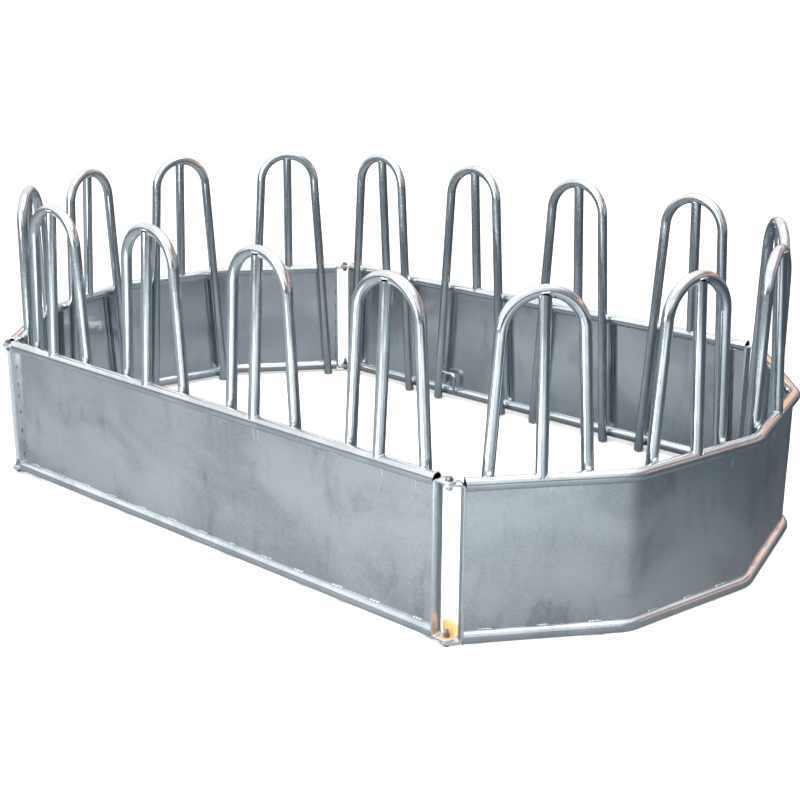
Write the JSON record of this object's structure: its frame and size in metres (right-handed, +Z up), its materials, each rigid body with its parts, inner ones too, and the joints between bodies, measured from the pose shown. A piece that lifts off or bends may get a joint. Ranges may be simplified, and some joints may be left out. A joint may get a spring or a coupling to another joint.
{
  "type": "hay ring feeder",
  "caption": "Oval galvanised hay ring feeder: two straight and two bent sheeted panels with arched hoops, hinged to each other at the corners by bolts.",
  "frame": {"origin": "centre of the footprint, on the ground under the leg ends", "axes": "+X along the straight side panels, +Y from the front panel to the back panel, +Z up"},
  "size_m": [3.1346, 1.9108, 1.0843],
  "materials": {
    "galvanised_tube": "hot-dip galvanised, bright satin",
    "galvanised_sheet": "hot-dip galvanised sheet, clouded semi-gloss",
    "galvanised_flat": "hot-dip galvanised, satin",
    "zinc_fastener": "zinc plated, dull",
    "yellow_zinc": "yellow passivated zinc"
  },
  "bodies": {
    "front_panel": {"front_top_rail": "galvanised_tube", "front_bottom_rail": "galvanised_tube", "front_sheet": "galvanised_sheet", "front_bracket_a": "galvanised_flat", "front_bracket_b": "galvanised_flat", "front_hoop_1": "galvanised_tube", "front_hoop_2": "galvanised_tube", "front_hoop_3": "galvanised_tube", "front_hoop_4": "galvanised_tube", "front_bar_1": "galvanised_tube", "front_bar_2": "galvanised_tube", "front_bar_3": "galvanised_tube", "front_bar_4": "galvanised_tube", "front_bolts": "zinc_fastener", "front_nuts": "zinc_fastener", "front_washers": "zinc_fastener", "front_lock_tab": "yellow_zinc"},
    "back_panel": {"back_top_rail": "galvanised_tube", "back_bottom_rail": "galvanised_tube", "back_sheet": "galvanised_sheet", "back_bracket_a": "galvanised_flat", "back_bracket_b": "galvanised_flat", "back_hoop_1": "galvanised_tube", "back_hoop_2": "galvanised_tube", "back_hoop_3": "galvanised_tube", "back_hoop_4": "galvanised_tube", "back_bar_1": "galvanised_tube", "back_bar_2": "galvanised_tube", "back_bar_3": "galvanised_tube", "back_bar_4": "galvanised_tube", "back_bolts": "zinc_fastener", "back_nuts": "zinc_fastener", "back_washers": "zinc_fastener", "back_tie_rod": "galvanised_tube"},
    "right_panel": {"right_top_rail": "galvanised_tube", "right_bottom_rail": "galvanised_tube", "right_sheet": "galvanised_sheet", "right_bracket_a": "galvanised_flat", "right_bracket_b": "galvanised_flat", "right_hoop_1": "galvanised_tube", "right_hoop_2": "galvanised_tube", "right_hoop_3": "galvanised_tube", "right_hoop_4": "galvanised_tube", "right_bar_1": "galvanised_tube", "right_bar_2": "galvanised_tube", "right_bar_3": "galvanised_tube", "right_bar_4": "galvanised_tube"},
    "left_panel": {"left_top_rail": "galvanised_tube", "left_bottom_rail": "galvanised_tube", "left_sheet": "galvanised_sheet", "left_bracket_a": "galvanised_flat", "left_bracket_b": "galvanised_flat", "left_hoop_1": "galvanised_tube", "left_hoop_2": "galvanised_tube", "left_hoop_3": "galvanised_tube", "left_hoop_4": "galvanised_tube", "left_bar_1": "galvanised_tube", "left_bar_2": "galvanised_tube", "left_bar_3": "galvanised_tube", "left_bar_4": "galvanised_tube"}
  },
  "joints": [
    {"name": "right_end_swing", "type": "hinge", "parent": "front_panel", "child": "right_panel", "pos_m": [1.076, -0.9342, 0.26], "axis": [0, 0, 1], "range_deg": [-55, 55]},
    {"name": "left_end_swing", "type": "hinge", "parent": "front_panel", "child": "left_panel", "pos_m": [-1.076, -0.9342, 0.26], "axis": [0, 0, 1], "range_deg": [-55, 55]},
    {"name": "back_swing", "type": "hinge", "parent": "right_panel", "child": "back_panel", "pos_m": [1.076, 0.9342, 0.26], "axis": [0, 0, 1], "range_deg": [-55, 55]}
  ],
  "couplings": [
    {"joint": "left_end_swing", "follows": "right_end_swing", "ratio": 1},
    {"joint": "back_swing", "follows": "right_end_swing", "ratio": -1}
  ]
}
